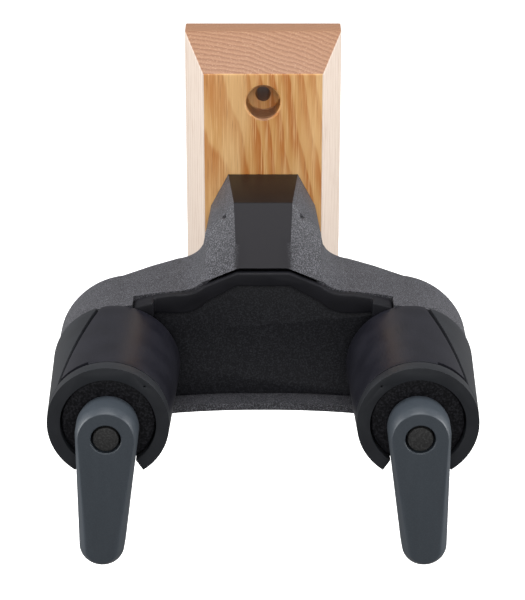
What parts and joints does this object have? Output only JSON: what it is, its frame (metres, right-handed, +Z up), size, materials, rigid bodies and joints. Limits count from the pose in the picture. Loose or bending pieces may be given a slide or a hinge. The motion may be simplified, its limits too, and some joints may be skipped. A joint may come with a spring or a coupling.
{
  "type": "wall guitar hanger",
  "caption": "Wall hanger for a guitar: bevelled wooden base, sliding padded yoke, and gates that swing in to close the yoke under the instrument's weight.",
  "frame": {"origin": "centre of the wooden base's back face, which lies on the wall", "axes": "+Z up along the wall, +Y into the wall (the hanger stands out towards -Y), +X to the right seen from the room"},
  "size_m": [0.1318, 0.1256, 0.1345],
  "materials": {
    "ash": "clear satin lacquer over ash",
    "neck_black": "satin smooth top, fine grained sides",
    "cover_grey": "fine spark-eroded grain",
    "plate_black": "fine leather-like grain",
    "band_black": "smooth matt",
    "arm_black": "coarse grain",
    "sleeve_grey": "matt moulded elastomer",
    "pad_black": "smooth dense foam skin",
    "lever_blue": "satin moulded",
    "shaft_black": "coarse black coating",
    "bush_white": "natural acetal",
    "steel": "zinc plated"
  },
  "bodies": {
    "base": {"bar_screw_left": "steel", "bar_screw_right": "steel", "base_screw_lower": "steel", "base_screw_upper": "steel", "drive_bar": "steel", "guide_rod_left": "steel", "guide_rod_right": "steel", "neck_bracket": "neck_black", "return_spring_left": "steel", "return_spring_right": "steel", "wood_base": "ash"},
    "yoke": {"arm_pad_left": "pad_black", "arm_pad_right": "pad_black", "arm_sleeve_left": "sleeve_grey", "arm_sleeve_right": "sleeve_grey", "arm_tube_left": "arm_black", "arm_tube_right": "arm_black", "carriage_screw_lower": "steel", "carriage_screw_upper": "steel", "cover_screw_left": "steel", "cover_screw_right": "steel", "front_bushing_left": "bush_white", "front_bushing_right": "bush_white", "front_plate": "plate_black", "guide_bush_left": "bush_white", "guide_bush_right": "bush_white", "rear_bushing_left": "bush_white", "rear_bushing_right": "bush_white", "slide_carriage": "plate_black", "yoke_cover": "cover_grey", "yoke_pad": "band_black"},
    "left_gate": {"crank_left": "steel", "crank_pin_left": "steel", "crank_washer_left": "bush_white", "gate_lever_left": "lever_blue", "gate_shaft_left": "shaft_black", "retaining_ring_left": "steel"},
    "right_gate": {"crank_pin_right": "steel", "crank_right": "steel", "crank_washer_right": "bush_white", "gate_lever_right": "lever_blue", "gate_shaft_right": "shaft_black", "retaining_ring_right": "steel"}
  },
  "joints": [
    {"name": "yoke_drop", "type": "slide", "parent": "base", "child": "yoke", "axis": [0, 0, -1], "range_m": [0, 0.0094], "stiffness_N_per_m": 600, "springref_m": -0.008, "deforming": ["return_spring_left", "return_spring_right"]},
    {"name": "left_gate_turn", "type": "hinge", "parent": "yoke", "child": "left_gate", "pos_m": [-0.046, -0.06, -0.0262], "axis": [0, -1, 0], "range_deg": [0, 92]},
    {"name": "right_gate_turn", "type": "hinge", "parent": "yoke", "child": "right_gate", "pos_m": [0.046, -0.06, -0.0262], "axis": [0, 1, 0], "range_deg": [0, 92]}
  ],
  "couplings": [
    {"joint": "left_gate_turn", "follows": "yoke_drop", "rad_per_m": 170.8},
    {"joint": "right_gate_turn", "follows": "yoke_drop", "rad_per_m": 170.8}
  ]
}
